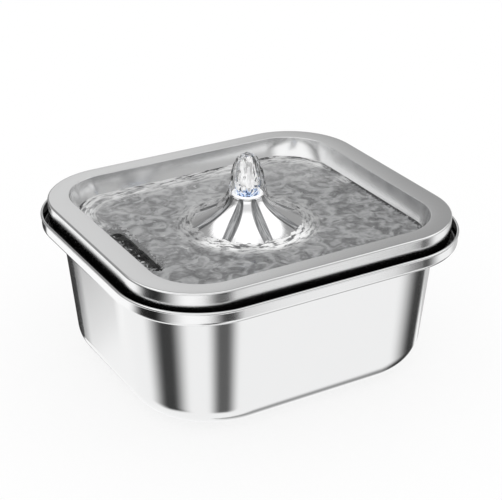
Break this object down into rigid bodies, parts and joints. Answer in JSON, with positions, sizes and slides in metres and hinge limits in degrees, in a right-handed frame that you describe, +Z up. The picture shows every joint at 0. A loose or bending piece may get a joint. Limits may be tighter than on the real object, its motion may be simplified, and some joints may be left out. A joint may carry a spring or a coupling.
{
  "type": "pet water fountain",
  "caption": "Free-standing pet water fountain: drawn steel basin and drinking tray, with a pump that lifts water up through a fluted steel cone.",
  "frame": {"origin": "on the table under the middle of the base, at the underside of the foot pads", "axes": "+Z up, +X along the longer side away from the drain slot, +Y towards the back"},
  "size_m": [0.314, 0.283, 0.1862],
  "materials": {
    "drawn_steel": "satin",
    "bright_steel": "polished",
    "white_silicone": "satin",
    "grey_silicone": "satin",
    "black_rubber": "matte",
    "water": "gloss",
    "black_plastic": "satin",
    "grey_plastic": "satin",
    "white_plastic": "satin",
    "clear_plastic": "gloss",
    "black_foam": "matte",
    "cotton": "matte",
    "carbon": "matte",
    "white_ceramic": "satin",
    "ferrite": "matte",
    "green_board": "satin"
  },
  "bodies": {
    "basin": {"basin": "drawn_steel", "basin_corners": "drawn_steel", "basin_sides": "drawn_steel", "basin_base": "drawn_steel", "foot_pads": "grey_silicone"},
    "pump_unit": {"pump_box": "black_plastic", "box_grommet": "black_rubber", "pump_housing": "black_plastic", "pump_gland": "black_rubber", "suction_cups": "grey_silicone", "shaft": "white_ceramic", "rear_bush": "black_rubber", "riser_tube": "black_plastic", "led_board": "green_board", "led_lens": "clear_plastic"},
    "pump_cover": {"pump_cover": "black_plastic", "front_bush": "black_rubber"},
    "flow_dial": {"flow_dial": "grey_plastic"},
    "rotor": {"impeller": "white_plastic", "rotor_magnet": "ferrite"},
    "cartridge": {"cartridge_frame": "white_plastic", "cartridge_grid": "white_plastic", "cartridge_sleeve": "white_plastic", "cotton_pad": "cotton", "carbon_bed": "carbon", "foam_pad": "black_foam"},
    "tray": {"tray": "drawn_steel", "water_pool": "water"},
    "drain_holder": {"drain_cradle": "black_plastic", "drain_foam": "black_foam"},
    "cone": {"fountain_cone": "bright_steel", "nozzle_ring": "white_silicone", "water_jet": "water"}
  },
  "joints": [
    {"name": "pump_unit_lift", "type": "slide", "parent": "basin", "child": "pump_unit", "axis": [0, 0, 1], "range_m": [0, 0.15]},
    {"name": "cover_slide", "type": "slide", "parent": "pump_unit", "child": "pump_cover", "axis": [0, -1, 0], "range_m": [0, 0.025]},
    {"name": "dial_turn", "type": "hinge", "parent": "pump_cover", "child": "flow_dial", "pos_m": [0, -0.01, 0.0365], "axis": [0, -1, 0], "range_deg": [0, 30]},
    {"name": "impeller_spin", "type": "hinge", "parent": "pump_unit", "child": "rotor", "pos_m": [0, 0, 0.0365], "axis": [0, -1, 0], "continuous": true},
    {"name": "cartridge_lift", "type": "slide", "parent": "pump_unit", "child": "cartridge", "axis": [0, 0, 1], "range_m": [0, 0.02]},
    {"name": "tray_lift", "type": "slide", "parent": "pump_unit", "child": "tray", "axis": [0, 0, 1], "range_m": [0, 0.15]},
    {"name": "drain_drop", "type": "slide", "parent": "tray", "child": "drain_holder", "axis": [0, 0, -1], "range_m": [0, 0.04]},
    {"name": "cone_lift", "type": "slide", "parent": "tray", "child": "cone", "axis": [0, 0, 1], "range_m": [0, 0.08]}
  ]
}
